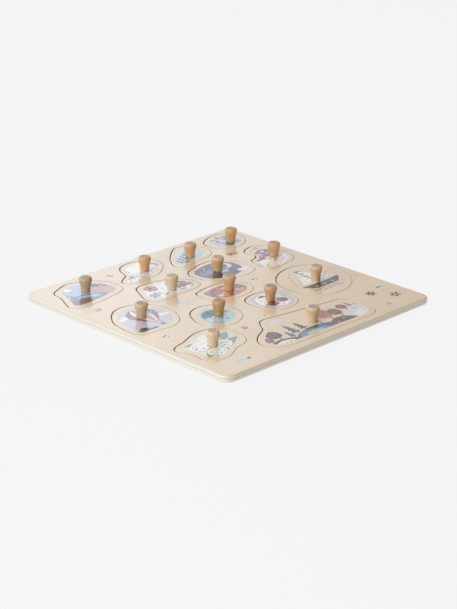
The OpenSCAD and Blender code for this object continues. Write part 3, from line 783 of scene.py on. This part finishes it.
def calc(tree, kind, a, b=None, clamp=False):
    node = tree.nodes.new("ShaderNodeMath")
    node.operation = kind
    node.use_clamp = clamp
    for socket, value in zip(node.inputs, (a, b)):
        if value is None:
            continue
        if isinstance(value, (int, float)):
            socket.default_value = value
        else:
            tree.links.new(value, socket)
    return node.outputs[0]


def grey(v):
    return (v, v, v, 1.0)


def bumped(tree, surface, heights, strength, distance):
    """Fine relief from a few height patterns added up."""
    total = heights[0]
    for h in heights[1:]:
        total = calc(tree, "ADD", total, h)
    node = tree.nodes.new("ShaderNodeBump")
    node.inputs["Strength"].default_value = strength
    node.inputs["Distance"].default_value = distance
    tree.links.new(total, node.inputs["Height"])
    tree.links.new(node.outputs["Normal"], surface.inputs["Normal"])


def plywood(name, pale, warm, light, dark, ply, gloss, printed):
    """Satin-lacquered birch plywood: figured face veneer, layered edges, cut walls darkened partly as cutter char and
    partly as painted gap shade and, where printed, ink over the grain.
    """
    material = bpy.data.materials.new(name)
    tree, surface = nodes_of(material)
    wood = attribute(tree, "gco").outputs["Vector"]
    trim = attribute(tree, "cut").outputs["Fac"]
    edge, char_and_gap_shade, joint = calc(tree, "MINIMUM", trim, 1.0), calc(tree, "SUBTRACT", trim, 1.0, True), calc(tree, "SUBTRACT", trim, 2.0, True)
    broad = noise(tree, wood, (0.034, 0.006, 0.03), 4.0, 0.55, 0.5)
    figure = noise(tree, wood, (0.15, 0.012, 0.1), 3.0, 0.55, 1.1)
    streak = noise(tree, wood, (1.1, 0.028, 0.4), 3.0, 0.6, 0.2)
    fibre = noise(tree, wood, (4.2, 0.16, 1.0), 2.0, 0.6)
    fleck = noise(tree, wood, (2.6, 0.32, 1.0), 2.0, 0.5)
    face = ramp(tree, broad, [(0.28, warm), (0.5, pale), (0.74, pale)])
    face = mixed(tree, "MULTIPLY", 0.5, face, ramp(tree, figure, [(0.36, (0.93, 0.89, 0.82)), (0.5, (1.0, 1.0, 1.0)), (0.66, (0.97, 0.945, 0.9))]))
    face = mixed(tree, "MULTIPLY", 0.6, face, ramp(tree, streak, [(0.3, (0.94, 0.91, 0.86)), (0.52, (1.0, 1.0, 1.0)), (0.75, (1.0, 1.0, 1.0))]))
    face = mixed(tree, "MULTIPLY", 0.55, face, ramp(tree, fleck, [(0.24, (0.78, 0.69, 0.57)), (0.34, (1.0, 1.0, 1.0)), (1.0, (1.0, 1.0, 1.0))]))
    # layers of the edge, by height in the panel
    parts = tree.nodes.new("ShaderNodeSeparateXYZ")
    tree.links.new(wood, parts.inputs["Vector"])
    wobble = calc(tree, "MULTIPLY", noise(tree, wood, (0.12, 0.12, 0.05), 2.0), 0.22)
    level = calc(tree, "ADD", parts.outputs["Z"], wobble)
    turn = calc(tree, "FRACT", calc(tree, "MULTIPLY", level, 0.5 / ply))
    glue = tuple(c * 0.7 for c in dark)
    layer = ramp(tree, turn, [(0.0, glue), (0.035, light), (0.465, light), (0.5, glue), (0.535, dark), (0.965, dark), (1.0, glue)])
    ends = noise(tree, wood, (0.9, 0.9, 1.4), 4.0, 0.7)
    layer = mixed(tree, "MULTIPLY", 0.4, layer, ramp(tree, ends, [(0.3, (0.86, 0.81, 0.74)), (0.55, (1.0, 1.0, 1.0)), (0.8, (1.0, 1.0, 1.0))]))
    # Painted shade: the cut walls (cut 2, and the rounding into the seam) are multiplied darker, partly as cutter char
    # and partly standing in for shade in the narrow gaps round the pieces and in the seam groove
    layer = mixed(tree, "MULTIPLY", char_and_gap_shade, layer, (0.62, 0.54, 0.45, 1.0))
    layer = mixed(tree, "MIX", joint, layer, tuple(c * 0.9 for c in dark) + (1.0,))
    colour = mixed(tree, "MIX", edge, face, layer)
    rough = calc(tree, "ADD", calc(tree, "MULTIPLY", fibre, 0.10), gloss)
    if printed:
        paint = attribute(tree, "ink")
        grainy = ramp(tree, noise(tree, wood, (0.9, 0.05, 0.5), 3.0, 0.6), [(0.3, grey(0.93)), (0.6, grey(1.0)), (1.0, grey(1.0))])
        wash = ramp(tree, noise(tree, wood, (0.11, 0.11, 0.2), 4.0, 0.6, 0.4), [(0.3, (0.92, 0.92, 0.93)), (0.55, (1.0, 1.0, 1.0)), (0.75, (1.05, 1.045, 1.04))])
        tint = mixed(tree, "MULTIPLY", 0.75, mixed(tree, "MULTIPLY", 0.8, paint.outputs["Color"], wash), grainy)
        thin = ramp(tree, noise(tree, wood, (1.7, 0.5, 1.0), 3.0, 0.7), [(0.25, grey(0.82)), (0.45, grey(0.97)), (1.0, grey(0.97))])
        cover = calc(tree, "MULTIPLY", paint.outputs["Alpha"], thin)
        colour = mixed(tree, "MIX", cover, colour, tint)
        rough = calc(tree, "ADD", rough, calc(tree, "MULTIPLY", paint.outputs["Alpha"], 0.03))
    rough = calc(tree, "ADD", rough, calc(tree, "MULTIPLY", edge, 0.16), True)
    tree.links.new(colour, surface.inputs["Base Color"])
    tree.links.new(rough, surface.inputs["Roughness"])
    surface.inputs["IOR"].default_value = 1.5
    surface.inputs["Coat Weight"].default_value = 1.0
    surface.inputs["Coat Roughness"].default_value = 0.16
    surface.inputs["Coat IOR"].default_value = 1.5
    bumped(tree, surface, [streak, fibre], 0.22, 0.00006)
    return material


def turned_beech(name):
    """Lacquered beech, grain along the peg: rings, flecks, fine tool marks and a darker end grain on the crown."""
    material = bpy.data.materials.new(name)
    tree, surface = nodes_of(material)
    wood = attribute(tree, "gco").outputs["Vector"]
    crown = attribute(tree, "cut").outputs["Fac"]
    tone = attribute(tree, "tone").outputs["Fac"]
    parts = tree.nodes.new("ShaderNodeSeparateXYZ")
    tree.links.new(wood, parts.inputs["Vector"])
    bend = noise(tree, wood, (0.12, 0.12, 0.03), 3.0, 0.5)
    away = calc(tree, "SQRT", calc(tree, "ADD", calc(tree, "MULTIPLY", parts.outputs["X"], parts.outputs["X"]), calc(tree, "MULTIPLY", parts.outputs["Y"], parts.outputs["Y"])))
    ring = calc(tree, "FRACT", calc(tree, "ADD", calc(tree, "MULTIPLY", away, 0.26), calc(tree, "MULTIPLY", bend, 1.6)))
    pale = ramp(tree, ring, [(0.0, (0.625, 0.46, 0.28)), (0.55, (0.645, 0.485, 0.305)), (0.88, (0.605, 0.435, 0.26)), (1.0, (0.625, 0.46, 0.28))])
    gold = ramp(tree, ring, [(0.0, (0.60, 0.315, 0.11)), (0.55, (0.62, 0.335, 0.125)), (0.88, (0.58, 0.29, 0.095)), (1.0, (0.60, 0.315, 0.11))])
    colour = mixed(tree, "MULTIPLY", 1.0, mixed(tree, "MIX", tone, pale, gold), attribute(tree, "shade").outputs["Color"])
    fibre = noise(tree, wood, (2.4, 2.4, 0.09), 3.0, 0.6)
    fleck = noise(tree, wood, (3.4, 3.4, 0.8), 2.0, 0.5)
    colour = mixed(tree, "MULTIPLY", 0.4, colour, ramp(tree, fibre, [(0.3, (0.86, 0.80, 0.72)), (0.55, (1.0, 1.0, 1.0)), (0.8, (1.04, 1.03, 1.02))]))
    colour = mixed(tree, "MULTIPLY", 0.7, colour, ramp(tree, fleck, [(0.26, (0.70, 0.58, 0.46)), (0.36, (1.0, 1.0, 1.0)), (1.0, (1.0, 1.0, 1.0))]))
    pores = noise(tree, wood, (5.0, 5.0, 0.2), 2.0, 0.5)
    end = mixed(tree, "MULTIPLY", 1.0, colour, ramp(tree, pores, [(0.3, (0.55, 0.52, 0.54)), (0.5, (0.68, 0.68, 0.79)), (0.8, (0.735, 0.745, 0.86))]))
    end = mixed(tree, "MULTIPLY", 0.35, end, ramp(tree, ring, [(0.0, grey(0.82)), (0.5, grey(1.0)), (0.9, grey(0.78)), (1.0, grey(0.82))]))
    colour = mixed(tree, "MIX", crown, colour, end)
    tree.links.new(colour, surface.inputs["Base Color"])
    marks = noise(tree, wood, (0.05, 0.05, 3.6), 2.0, 0.6)
    tree.links.new(calc(tree, "ADD", calc(tree, "MULTIPLY", fibre, 0.16), calc(tree, "ADD", calc(tree, "MULTIPLY", crown, 0.1), 0.34)), surface.inputs["Roughness"])
    surface.inputs["IOR"].default_value = 1.5
    surface.inputs["Coat Weight"].default_value = 0.5
    surface.inputs["Coat Roughness"].default_value = 0.3
    surface.inputs["Coat IOR"].default_value = 1.5
    bumped(tree, surface, [fibre, calc(tree, "MULTIPLY", marks, 1.6), fleck], 0.25, 0.00006)
    return material


# ---------------------------------------------------------------- building the object

board_wood = plywood("board_plywood", (0.82, 0.625, 0.415), (0.775, 0.57, 0.36), (0.745, 0.65, 0.525), (0.72, 0.625, 0.50), 1.1667, 0.20, True)
back_wood = plywood("back_plywood", (0.62, 0.51, 0.36), (0.58, 0.46, 0.31), (0.80, 0.725, 0.62), (0.67, 0.605, 0.515), 1.3333, 0.30, False)
peg_wood = turned_beech("turned_beech")


def shift(seed, lift=0.0):
    """A seeded offset, so that each panel shows its own patch of wood."""
    dice = random.Random(seed)
    dx, dy = dice.uniform(-900, 900), dice.uniform(-900, 900)
    return lambda p: (p[0] + dx, p[1] + dy, p[2] - lift)


OUTER = board_loop()

# Backing panel
panel = Solid()
rim_low, rim_top = 2.0, 0.5
profile = arc(rim_top, SEAM, 90, 0, 6, face=4.0, turn=80) + arc(rim_low, 0.0, 0, -90, 8, True)
top_ring, low_ring = panel.walls(OUTER, profile)
for ring, up, inset in ((top_ring, True, rim_top), (low_ring, False, rim_low)):
    at, faces, origin = triangles([moved(OUTER, -inset)])
    for f, ids in faces:
        if 0 in ids:
            own = [ring[origin[i][0]] for i in f]
            panel.flat(own if up else list(reversed(own)), up)
base_panel = panel.build("base_panel_wood", back_wood, shift(3))
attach(base_panel, "board"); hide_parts("base_panel")

# Cut-out panel, with marks printed between the cut-outs
panel = Solid()
rim_top, rim_hole, rim_low = 2.0, 0.4, 0.5
profile = arc(rim_top, TOP, 90, 0, 8) + arc(rim_low, SEAM, 0, -90, 6, True, face=4.0, turn=80)
outer_top, outer_low = panel.walls(OUTER, profile)
# The hole walls below the rim take cut 2: darkened partly as cutter char and partly as painted shade for the gap round
# each piece
hole_profile = arc(rim_hole, TOP, 90, 0, 4) + [(0.0, TOP - rim_hole - 0.35, 0, 2.0)] + arc(0.1, SEAM, 0, -90, 2, True, cut=2.0, face=2.0)
holes, hole_rings = [], []
for name in LINES:
    hole = list(reversed(moved(closed(LINES[name], STEPS), GAP / 2)))
    holes.append(hole)
    hole_rings.append(panel.walls(hole, hole_profile))
loops = [moved(OUTER, -rim_top)] + [list(reversed(moved(h, -rim_hole))) for h in holes]
known = list(outer_top) + [i for ring, _ in hole_rings for i in reversed(ring)]
marks = board_marks()
at, faces, origin = triangles(loops + [points for _, points in marks])
own = {}
for i, p in enumerate(at):
    before = [k for k in origin[i] if k < len(known)]
    own[i] = known[before[0]] if before else panel.point(p[0], p[1], TOP)
for f, ids in faces:
    if 0 in ids and not any(1 <= k <= len(holes) for k in ids):
        top = max(ids) - 1 - len(holes)
        panel.flat([own[i] for i in f], True, marks[top][0] if top >= 0 else (0, 0, 0, 0))
loops = [moved(OUTER, -rim_low)] + [list(reversed(moved(h, -0.1))) for h in holes]
known = list(outer_low) + [i for _, ring in hole_rings for i in reversed(ring)]
at, faces, origin = triangles(loops)
for f, ids in faces:
    if ids == {0}:
        panel.flat([known[origin[i][0]] for i in reversed(f)], False)
used = sorted({i for f in panel.faces for i in f})
renumber = {old: new for new, old in enumerate(used)}
panel.at = [panel.at[i] for i in used]
panel.faces = [tuple(renumber[i] for i in f) for f in panel.faces]
frame_panel = panel.build("frame_panel_wood", board_wood, shift(8, SEAM))
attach(frame_panel, "board"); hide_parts("frame_panel")


def flat_piece(name):
    """A printed piece with rounded edges, drilled for its peg."""
    solid = Solid()
    outline = [(x + SIT, y + SIT) for x, y in moved(closed(LINES[name], STEPS), -GAP / 2)]
    rim_top, rim_low = 0.55, 0.3
    low = SEAM + 0.02
    # The piece's wall below its rim takes cut 2: darkened partly as cutter char and partly as painted shade for the gap
    # round the piece
    profile = arc(rim_top, TOP, 90, 0, 5) + [(0.0, TOP - rim_top - 0.35, 0, 2.0)] + arc(rim_low, low, 0, -90, 3, True, cut=2.0)
    top_ring, low_ring = solid.walls(outline, profile)
    px, py = PEGS[name]
    middle, margin, ground, drawing = PRINTS[name]
    # the printed field
    field = relaxed(moved(relaxed(outline, 6), -margin), 24)
    shapes = [(colour, on_board(middle, points)) for colour, points in drawing()]
    at, faces, _ = triangles([field, circle(px, py, HOLE_R, 32)] + [points for _, points in shapes])
    kept = [(f, ids) for f, ids in faces if 0 in ids and 1 not in ids]
    own = {}
    for f, ids in kept:
        for i in f:
            if i not in own:
                own[i] = solid.point(at[i][0], at[i][1], TOP)
        top = max(ids)
        paint = shapes[top - 2][0] if top >= 2 else ground
        solid.flat([own[i] for i in f], True, paint or (0, 0, 0, 0))
    loops = borders([f for f, _ in kept])
    loops.sort(key=lambda loop: -abs(surface_area([at[i] for i in loop])))
    print_edge, bore = loops[0], loops[1]
    # bare wood round the printed field
    ring0 = [(solid.at[i][0], solid.at[i][1]) for i in top_ring]
    known = list(top_ring) + [own[i] for i in print_edge]
    at2, faces, origin = triangles([ring0, [at[i] for i in print_edge]])
    for f, ids in faces:
        if ids == {0}:
            solid.flat([known[origin[i][0]] for i in f], True)
    # bore of the peg, and the underside
    top_ids = [own[i] for i in bore]
    bore_loop = [(solid.at[i][0], solid.at[i][1]) for i in top_ids]
    _, bore_low = solid.walls(bore_loop, [(0.0, TOP, 0, 1.0), (0.0, low, 0, 1.0)], top_ids)
    known = list(low_ring) + list(reversed(bore_low))
    at3, faces, origin = triangles([[(solid.at[i][0], solid.at[i][1]) for i in low_ring], list(reversed(bore_loop))])
    for f, ids in faces:
        if ids == {0}:
            solid.flat([known[origin[i][0]] for i in reversed(f)], False)
    return solid


def peg(name):
    """A turned peg with its spigot."""
    solid = Solid()
    cx, cy = PEGS[name]
    steps = [(0.0, -SPIGOT_L, 0.0), (SPIGOT - 0.4, -SPIGOT_L, 0.0), (SPIGOT, 0.4 - SPIGOT_L, 0.0), (SPIGOT, 0.03, 0.0), (PEG_FOOT - 0.4, 0.03, 0.0)]
    for k in range(0, 19):
        s = k / 18
        t = s ** 1.4
        foot = 0.18 * math.exp(-(s / 0.025) ** 2)
        steps.append((PEG_FOOT + (PEG_HEAD - PEG_FOOT) * t * t * (3 - 2 * t) - foot, 0.4 + (PEG_H - PEG_RIM - 0.4) * s, 0.0))
    for a in range(8, 91, 8):
        r = math.radians(a)
        steps.append((PEG_HEAD - PEG_RIM + PEG_RIM * math.cos(r), PEG_H - PEG_RIM + PEG_RIM * math.sin(r), max(0.0, (a - 60) / 45)))
    steps += [(PEG_HEAD - PEG_RIM - 0.8, PEG_H, 0.9), (2.4, PEG_H, 1.0)]
    count = 64
    slopes = []
    for k, (r, z, _) in enumerate(steps):
        a, b = steps[max(0, k - 1)], steps[min(len(steps) - 1, k + 1)]
        dr, dz = b[0] - a[0], b[1] - a[1]
        length = math.hypot(dr, dz) or 1.0
        slopes.append((dz / length, -dr / length))
    flat_from = len(steps) - 3
    rings = []
    for r, z, _ in steps[1:]:
        rings.append([solid.point(cx + r * math.cos(2 * math.pi * i / count), cy + r * math.sin(2 * math.pi * i / count), TOP + z) for i in range(count)])
    foot, crown = solid.point(cx, cy, TOP - SPIGOT_L), solid.point(cx, cy, TOP + PEG_H)

    def normal(k, i, own=None):
        nr, nz = own or slopes[k]
        a = 2 * math.pi * i / count
        return (nr * math.cos(a), nr * math.sin(a), nz)

    for k in range(len(rings) - 1):
        (r0, z0, c0), (r1, z1, c1) = steps[k + 1], steps[k + 2]
        dr, dz = r1 - r0, z1 - z0
        length = math.hypot(dr, dz)
        face = (dz / length, -dr / length)
        sharp = k + 1 < 5
        for i in range(count):
            j = (i + 1) % count
            if sharp:
                n = [normal(k + 1, i, face), normal(k + 1, j, face), normal(k + 2, j, face), normal(k + 2, i, face)]
            else:
                low = face if k + 1 == 5 else slopes[k + 1]
                high = (0.0, 1.0) if k + 2 >= flat_from else slopes[k + 2]
                low = (0.0, 1.0) if k + 1 >= flat_from else low
                n = [normal(k + 1, i, low), normal(k + 1, j, low), normal(k + 2, j, high), normal(k + 2, i, high)]
            solid.face((rings[k][i], rings[k][j], rings[k + 1][j], rings[k + 1][i]), n, cut=[c0, c0, c1, c1])
    for i in range(count):
        j = (i + 1) % count
        solid.face((foot, rings[0][j], rings[0][i]), [(0, 0, -1)] * 3)
        solid.face((rings[-1][i], rings[-1][j], crown), [(0, 0, 1)] * 3, cut=[1.0] * 3)
    return solid


for order, name in enumerate(LINES):
    piece = flat_piece(name).build(name + "_piece_print", board_wood, shift(100 + 7 * order, SEAM))
    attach(piece, name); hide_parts(name + "_piece")
    dice = random.Random(500 + order)
    turn, reach = dice.uniform(0, 2 * math.pi), dice.uniform(9, 26)
    lift = dice.uniform(0, 400)
    cx, cy = PEGS[name]
    ox, oy = reach * math.cos(turn) - cx, reach * math.sin(turn) - cy
    knob = peg(name).build(name + "_peg_wood", peg_wood, lambda p, ox=ox, oy=oy, lift=lift: (p[0] + ox, p[1] + oy, p[2] + lift), {"tone": PEG_TONE[name][0], "shade": PEG_TONE[name][1]})
    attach(knob, name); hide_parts(name + "_peg")

# ---------------------------------------------------------------- studio

scene = bpy.context.scene
scene.view_settings.view_transform = "Standard"
scene.view_settings.look = "None"

mesh = bpy.data.meshes.new("floor")
mesh.from_pydata([(-13, -13, 0), (13, -13, 0), (13, 13, 0), (-13, 13, 0)], [], [(0, 1, 2, 3)])
floor = bpy.data.objects.new("floor", mesh)
scene.collection.objects.link(floor)
paper = bpy.data.materials.new("studio_paper")
tree, surface = nodes_of(paper)
surface.inputs["Base Color"].default_value = (0.08, 0.08, 0.08, 1.0)
surface.inputs["Roughness"].default_value = 1.0
surface.inputs["Specular IOR Level"].default_value = 0.0
surface.inputs["Emission Color"].default_value = (1.0, 1.0, 1.0, 1.0)
surface.inputs["Emission Strength"].default_value = 0.837
mesh.materials.append(paper)

# Pale backdrop round the floor. It casts no light on the object, and only its low band shows in the lacquer
screen = bpy.data.materials.new("studio_backdrop")
tree, surface = nodes_of(screen)
surface.inputs["Base Color"].default_value = (0.0, 0.0, 0.0, 1.0)
surface.inputs["Roughness"].default_value = 1.0
surface.inputs["Specular IOR Level"].default_value = 0.0
surface.inputs["Emission Color"].default_value = (1.0, 1.0, 1.0, 1.0)
surface.inputs["Emission Strength"].default_value = 0.89
for label, low, high in (("backdrop_low", -0.02, 1.4), ("backdrop_high", 1.4, 11.0)):
    mesh = bpy.data.meshes.new(label)
    ring = [(12.8 * math.cos(2 * math.pi * k / 96), 12.8 * math.sin(2 * math.pi * k / 96)) for k in range(96)]
    mesh.from_pydata([(x, y, low) for x, y in ring] + [(x, y, high) for x, y in ring], [], [(k, 96 + k, 96 + (k + 1) % 96, (k + 1) % 96) for k in range(96)])
    mesh.materials.append(screen)
    wall = bpy.data.objects.new(label, mesh)
    scene.collection.objects.link(wall)
    wall.visible_diffuse = wall.visible_transmission = wall.visible_volume_scatter = wall.visible_shadow = False
    wall.visible_glossy = label == "backdrop_low"

world = bpy.data.worlds.new("studio")
scene.world = world
world.use_nodes = True
tree = world.node_tree
sky = tree.nodes["Background"]
sky.inputs["Strength"].default_value = 1.0
ways = tree.nodes.new("ShaderNodeTexCoord").outputs["Generated"]
parts = tree.nodes.new("ShaderNodeSeparateXYZ")
tree.links.new(ways, parts.inputs["Vector"])
across = calc(tree, "ADD", calc(tree, "MULTIPLY", calc(tree, "ADD", parts.outputs["X"], parts.outputs["Y"]), 0.3536), 0.5)
tree.links.new(ramp(tree, across, [(0.0, (0.98, 1.08, 1.22)), (0.43, (0.96, 1.04, 1.14)), (0.62, (0.36, 0.315, 0.265)), (1.0, (0.24, 0.185, 0.125))], "EASE"), sky.inputs["Color"])


def softbox(name, at, to, wide, high, power, tint):
    light = bpy.data.lights.new(name, "AREA")
    light.shape = "RECTANGLE"
    light.size, light.size_y = wide, high
    light.energy = power
    light.color = tint
    lamp = bpy.data.objects.new(name, light)
    lamp.location = at
    lamp.rotation_euler = (Vector(to) - Vector(at)).to_track_quat("-Z", "Y").to_euler()
    lamp.visible_camera = False
    scene.collection.objects.link(lamp)
    return lamp


softbox("key_left", (0.22, -1.30, 0.40), (0.0, 0.0, 0.0), 0.8, 0.5, 7.4, (0.84, 0.92, 1.0))
softbox("back_sheen_left", (-1.38, 0.61, 0.62), (-0.05, -0.05, 0.0), 0.85, 0.7, 0.6, (0.84, 0.915, 0.99))
softbox("back_sheen_mid", (-1.23, 0.76, 0.62), (-0.05, -0.05, 0.0), 0.85, 0.7, 0.5, (0.86, 0.92, 0.97))
softbox("top_soft", (0.0, 0.0, 1.7), (0.0, 0.0, 0.0), 1.4, 1.4, 2.8, (1.0, 0.97, 0.93))

# Camera at the photograph's angle
azimuth, elevation, roll = math.radians(45.02), math.radians(21.77), math.radians(0.311)
back = Vector((math.sin(azimuth) * math.cos(elevation), -math.cos(azimuth) * math.cos(elevation), math.sin(elevation)))
side = (-back).cross(Vector((0, 0, 1))).normalized()
over = side.cross(-back)
eye = back * 1.9083 + side * 0.00075 + over * -0.0030
right, up = side * math.cos(roll) + over * math.sin(roll), over * math.cos(roll) - side * math.sin(roll)
lens = bpy.data.cameras.new("photo_camera")
lens.sensor_fit = "AUTO"
lens.sensor_width = 36.0
lens.lens = 1831.5 / 609 * 36.0
lens.clip_start, lens.clip_end = 0.05, 50.0
camera = bpy.data.objects.new("photo_camera", lens)
camera.matrix_world = Matrix(((right[0], up[0], back[0], eye[0]), (right[1], up[1], back[1], eye[1]), (right[2], up[2], back[2], eye[2]), (0, 0, 0, 1)))
scene.collection.objects.link(camera)
scene.camera = camera
